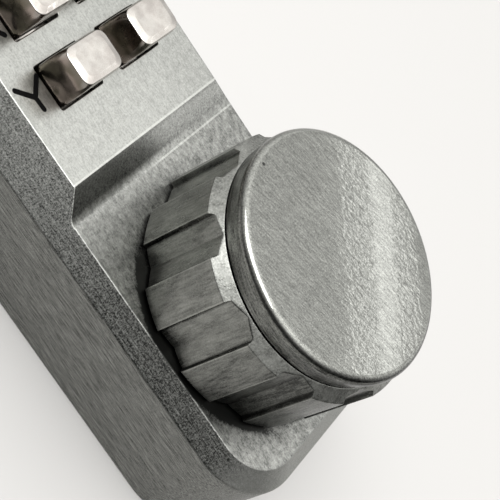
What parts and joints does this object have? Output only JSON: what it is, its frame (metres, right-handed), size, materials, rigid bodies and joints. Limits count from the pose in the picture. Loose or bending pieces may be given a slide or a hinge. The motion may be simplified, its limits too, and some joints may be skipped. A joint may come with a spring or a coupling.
{
  "type": "push-button door lock",
  "caption": "Outside unit of a mechanical code door lock: chamfered die-cast case, two columns of push buttons and a scalloped turn knob.",
  "frame": {"origin": "middle of the footprint, on the plane of the door", "axes": "+Z out of the front face, +Y up the keypad away from the knob, X across the case"},
  "size_m": [0.0472, 0.1484, 0.0381],
  "materials": {
    "satin_zinc": "satin plated die-casting, fine brushed grain along the case",
    "knob_zinc": "satin plated die-casting, smooth with a faint ripple",
    "polished_nickel": "polished",
    "plated_steel": "bright zinc plated",
    "spring_steel": "drawn wire, clean",
    "bearing_brass": "machined brass",
    "seal_rubber": "matt",
    "legend_enamel": "black enamel run into the engraved key legends"
  },
  "bodies": {
    "case": {"front_case": "satin_zinc", "back_plate": "plated_steel", "back_plate_screw_1": "plated_steel", "back_plate_screw_2": "plated_steel", "code_chamber": "satin_zinc", "chamber_cover": "plated_steel", "chamber_screw_1": "plated_steel", "chamber_screw_2": "plated_steel", "spindle_bush": "bearing_brass", "spindle_o_ring": "seal_rubber", "knob_return_spring": "spring_steel", "button_spring_1": "spring_steel", "button_spring_6": "spring_steel", "button_spring_2": "spring_steel", "button_spring_7": "spring_steel", "button_spring_3": "spring_steel", "button_spring_8": "spring_steel", "button_spring_4": "spring_steel", "button_spring_9": "spring_steel", "button_spring_5": "spring_steel", "button_spring_0": "spring_steel", "button_spring_x": "spring_steel", "button_spring_z": "spring_steel", "button_spring_y": "spring_steel", "button_spring_c": "spring_steel"},
    "key_1": {"button_1": "polished_nickel", "tumbler_1": "bearing_brass"},
    "key_6": {"button_6": "polished_nickel", "tumbler_6": "bearing_brass"},
    "key_2": {"button_2": "polished_nickel", "tumbler_2": "bearing_brass"},
    "key_7": {"button_7": "polished_nickel", "tumbler_7": "bearing_brass"},
    "key_3": {"button_3": "polished_nickel", "tumbler_3": "bearing_brass"},
    "key_8": {"button_8": "polished_nickel", "tumbler_8": "bearing_brass"},
    "key_4": {"button_4": "polished_nickel", "tumbler_4": "bearing_brass"},
    "key_9": {"button_9": "polished_nickel", "tumbler_9": "bearing_brass"},
    "key_5": {"button_5": "polished_nickel", "tumbler_5": "bearing_brass"},
    "key_0": {"button_0": "polished_nickel", "tumbler_0": "bearing_brass"},
    "key_x": {"button_x": "polished_nickel", "tumbler_x": "bearing_brass"},
    "key_z": {"button_z": "polished_nickel", "tumbler_z": "bearing_brass"},
    "key_y": {"button_y": "polished_nickel", "tumbler_y": "bearing_brass"},
    "key_c": {"button_c": "polished_nickel", "reset_lever": "plated_steel"},
    "gate": {"gate_slide": "plated_steel"},
    "knob": {"knob_grip": "knob_zinc", "knob_cap": "knob_zinc", "knob_spindle": "plated_steel", "drive_cam": "plated_steel", "spindle_circlip": "spring_steel"}
  },
  "joints": [
    {"name": "press_1", "type": "slide", "parent": "case", "child": "key_1", "axis": [0, 0, -1], "range_m": [0, 0.0024], "stiffness_N_per_m": 400, "springref_m": -0.002, "deforming": ["button_spring_1"]},
    {"name": "press_6", "type": "slide", "parent": "case", "child": "key_6", "axis": [0, 0, -1], "range_m": [0, 0.0024], "stiffness_N_per_m": 400, "springref_m": -0.002, "deforming": ["button_spring_6"]},
    {"name": "press_2", "type": "slide", "parent": "case", "child": "key_2", "axis": [0, 0, -1], "range_m": [0, 0.0024], "stiffness_N_per_m": 400, "springref_m": -0.002, "deforming": ["button_spring_2"]},
    {"name": "press_7", "type": "slide", "parent": "case", "child": "key_7", "axis": [0, 0, -1], "range_m": [0, 0.0024], "stiffness_N_per_m": 400, "springref_m": -0.002, "deforming": ["button_spring_7"]},
    {"name": "press_3", "type": "slide", "parent": "case", "child": "key_3", "axis": [0, 0, -1], "range_m": [0, 0.0024], "stiffness_N_per_m": 400, "springref_m": -0.002, "deforming": ["button_spring_3"]},
    {"name": "press_8", "type": "slide", "parent": "case", "child": "key_8", "axis": [0, 0, -1], "range_m": [0, 0.0024], "stiffness_N_per_m": 400, "springref_m": -0.002, "deforming": ["button_spring_8"]},
    {"name": "press_4", "type": "slide", "parent": "case", "child": "key_4", "axis": [0, 0, -1], "range_m": [0, 0.0024], "stiffness_N_per_m": 400, "springref_m": -0.002, "deforming": ["button_spring_4"]},
    {"name": "press_9", "type": "slide", "parent": "case", "child": "key_9", "axis": [0, 0, -1], "range_m": [0, 0.0024], "stiffness_N_per_m": 400, "springref_m": -0.002, "deforming": ["button_spring_9"]},
    {"name": "press_5", "type": "slide", "parent": "case", "child": "key_5", "axis": [0, 0, -1], "range_m": [0, 0.0024], "stiffness_N_per_m": 400, "springref_m": -0.002, "deforming": ["button_spring_5"]},
    {"name": "press_0", "type": "slide", "parent": "case", "child": "key_0", "axis": [0, 0, -1], "range_m": [0, 0.0024], "stiffness_N_per_m": 400, "springref_m": -0.002, "deforming": ["button_spring_0"]},
    {"name": "press_x", "type": "slide", "parent": "case", "child": "key_x", "axis": [0, 0, -1], "range_m": [0, 0.0024], "stiffness_N_per_m": 400, "springref_m": -0.002, "deforming": ["button_spring_x"]},
    {"name": "press_z", "type": "slide", "parent": "case", "child": "key_z", "axis": [0, 0, -1], "range_m": [0, 0.0024], "stiffness_N_per_m": 400, "springref_m": -0.002, "deforming": ["button_spring_z"]},
    {"name": "press_y", "type": "slide", "parent": "case", "child": "key_y", "axis": [0, 0, -1], "range_m": [0, 0.0024], "stiffness_N_per_m": 400, "springref_m": -0.002, "deforming": ["button_spring_y"]},
    {"name": "press_c", "type": "slide", "parent": "case", "child": "key_c", "axis": [0, 0, -1], "range_m": [0, 0.0024], "stiffness_N_per_m": 400, "springref_m": -0.002, "deforming": ["button_spring_c"]},
    {"name": "knob_turn", "type": "hinge", "parent": "case", "child": "knob", "pos_m": [0, -0.0493, 0.02], "axis": [0, 0, 1], "range_deg": [-90, 0], "stiffness_Nm_per_rad": 0.06, "springref_deg": 17.19},
    {"name": "gate_lift", "type": "slide", "parent": "case", "child": "gate", "axis": [0, 1, 0], "range_m": [0, 0.003]}
  ],
  "couplings": [
    {"joint": "gate_lift", "follows": "knob_turn", "m_per_rad": -0.0019099}
  ]
}
